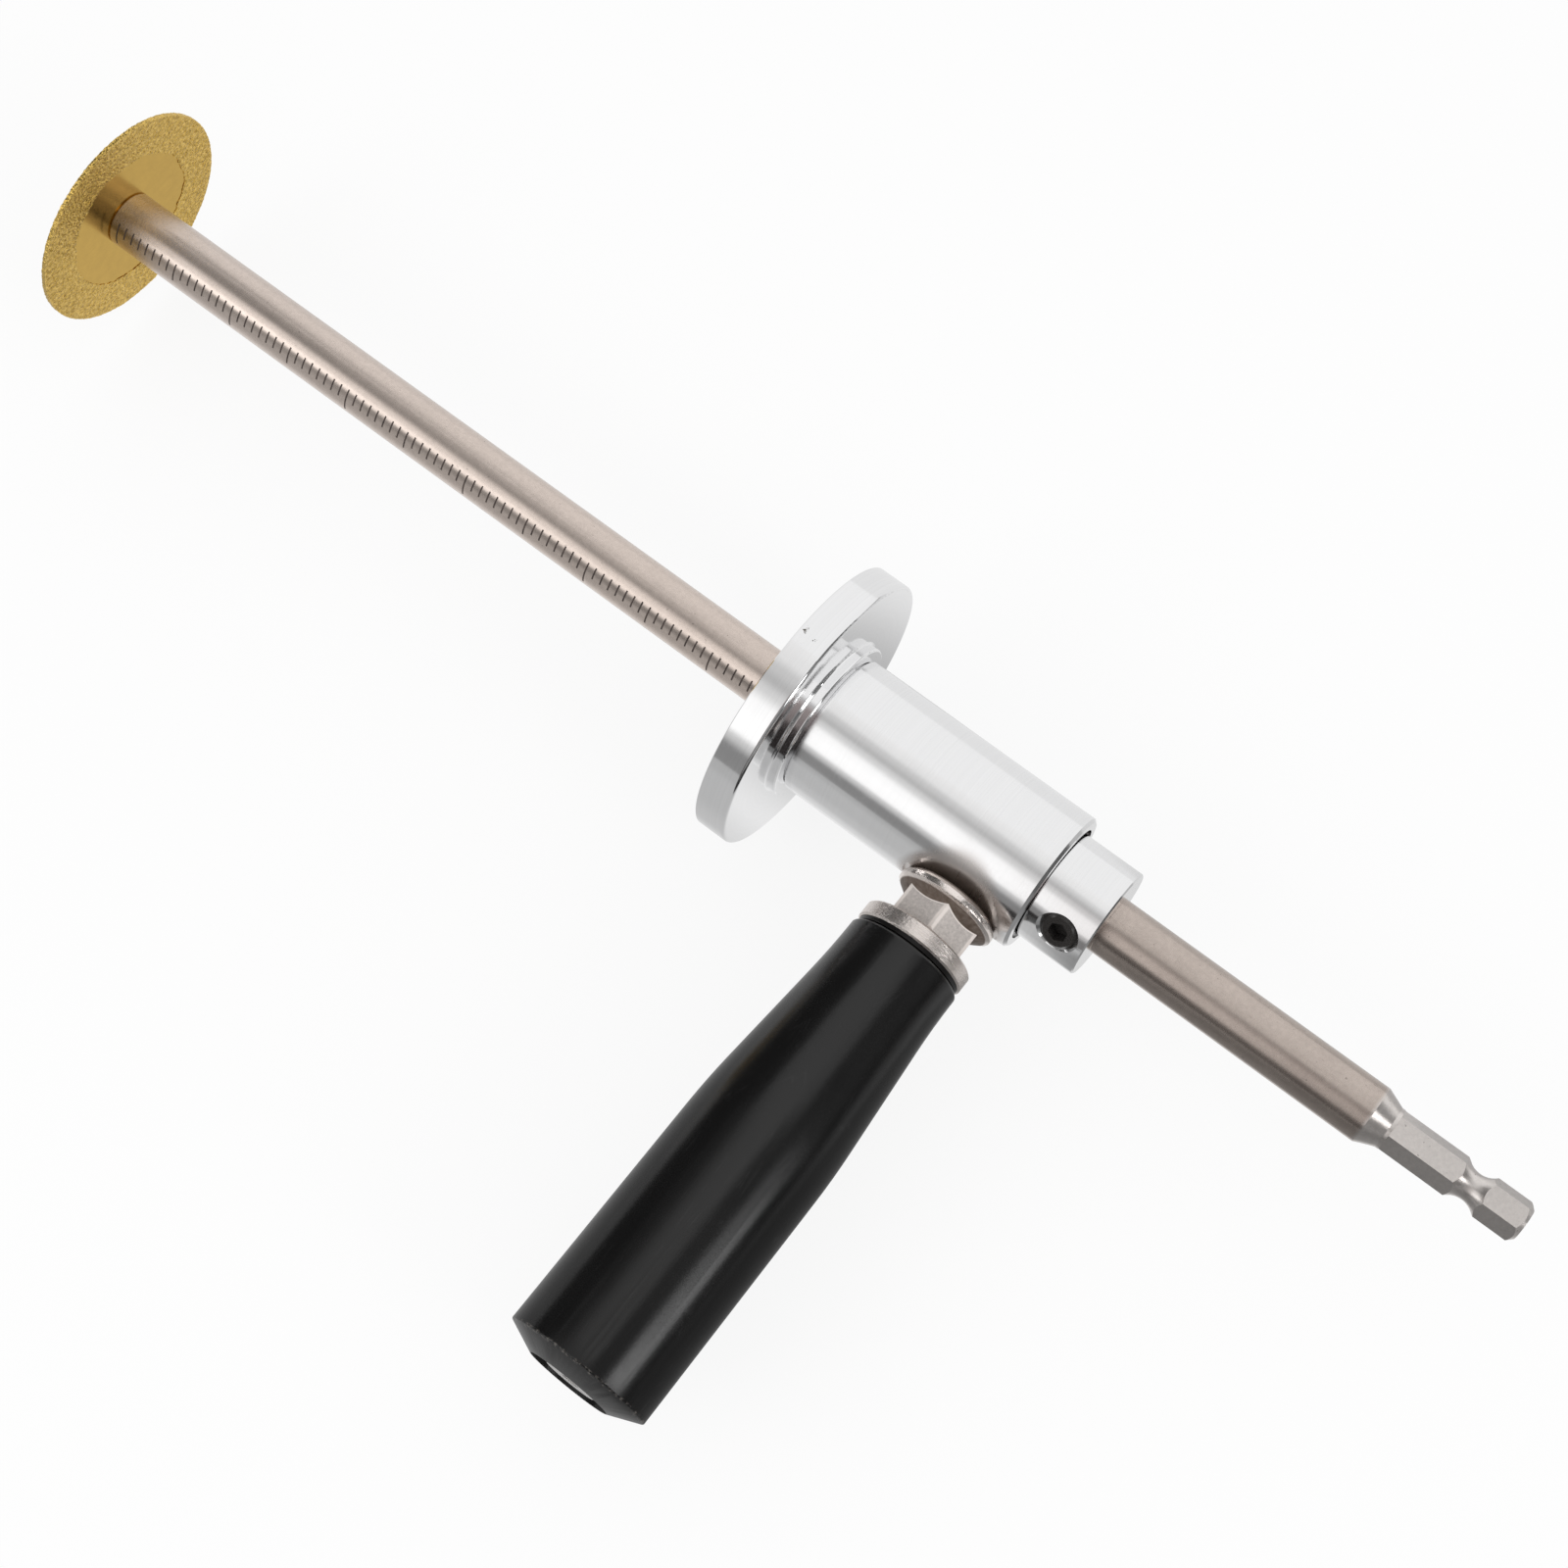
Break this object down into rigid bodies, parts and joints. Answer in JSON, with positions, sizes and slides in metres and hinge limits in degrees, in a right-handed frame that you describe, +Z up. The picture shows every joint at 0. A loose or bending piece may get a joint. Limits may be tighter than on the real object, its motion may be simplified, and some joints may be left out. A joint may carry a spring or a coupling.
{
  "type": "internal pipe cutter",
  "caption": "Drill-driven internal pipe cutter: gritted cutting disc on a sliding graduated shaft, stop flange on a ball-bearing sleeve, lock collar and revolving side grip.",
  "frame": {"origin": "on the shaft axis, in the plane of the stop flange's working face, which rests on the end of the pipe", "axes": "+X along the shaft from the stop flange towards the hex drive end, -Y along the side handle, +Z up and square to both"},
  "size_m": [0.2903, 0.1325, 0.0504],
  "materials": {
    "turned_aluminium": "turned and polished",
    "shaft_steel": "ground satin",
    "nickel_plate": "satin nickel plate",
    "bright_steel": "bright zinc plate",
    "bearing_steel": "polished",
    "black_steel": "black oxide",
    "grit": "brazed grit with a gold tone",
    "disc_gold": "smooth with a gold tone",
    "cage_brass": "stamped",
    "black_grip": "satin moulded"
  },
  "bodies": {
    "housing": {"stop_flange": "turned_aluminium", "sleeve": "turned_aluminium", "front_outer_race": "bearing_steel", "rear_outer_race": "bearing_steel", "front_shield": "bright_steel", "rear_shield": "bright_steel", "handle_spindle": "nickel_plate", "flange_nut": "nickel_plate", "thrust_washer": "black_steel", "end_washer": "bright_steel", "end_screw": "bright_steel"},
    "spindle": {"lock_collar": "turned_aluminium", "front_inner_race": "bearing_steel", "rear_inner_race": "bearing_steel", "retaining_ring": "black_steel"},
    "front_cage_set": {"front_cage": "cage_brass", "front_balls": "bearing_steel"},
    "rear_cage_set": {"rear_cage": "cage_brass", "rear_balls": "bearing_steel"},
    "cutter": {"shaft": "shaft_steel", "disc_core": "disc_gold", "abrasive_rim": "grit", "disc_washer": "bright_steel", "spring_washer": "bright_steel", "disc_screw": "bright_steel"},
    "clamp_screw": {"set_screw": "black_steel"},
    "handle_grip": {"grip": "black_grip"}
  },
  "joints": [
    {"name": "shaft_spin", "type": "hinge", "parent": "housing", "child": "spindle", "pos_m": [0, 0, 0], "axis": [1, 0, 0], "continuous": true},
    {"name": "front_cage_spin", "type": "hinge", "parent": "housing", "child": "front_cage_set", "pos_m": [0.0041, 0, 0], "axis": [1, 0, 0], "continuous": true},
    {"name": "rear_cage_spin", "type": "hinge", "parent": "housing", "child": "rear_cage_set", "pos_m": [0.0479, 0, 0], "axis": [1, 0, 0], "continuous": true},
    {"name": "depth_slide", "type": "slide", "parent": "spindle", "child": "cutter", "axis": [1, 0, 0], "range_m": [-0.048, 0.141]},
    {"name": "set_screw_turn", "type": "hinge", "parent": "spindle", "child": "clamp_screw", "pos_m": [0.0579, 0, 0], "axis": [0, -0.8151, 0.5793], "range_deg": [0, 360]},
    {"name": "grip_spin", "type": "hinge", "parent": "housing", "child": "handle_grip", "pos_m": [0.041, 0, 0], "axis": [0, -1, 0], "continuous": true}
  ],
  "couplings": [
    {"joint": "front_cage_spin", "follows": "shaft_spin", "ratio": 0.4279},
    {"joint": "rear_cage_spin", "follows": "shaft_spin", "ratio": 0.4279}
  ]
}
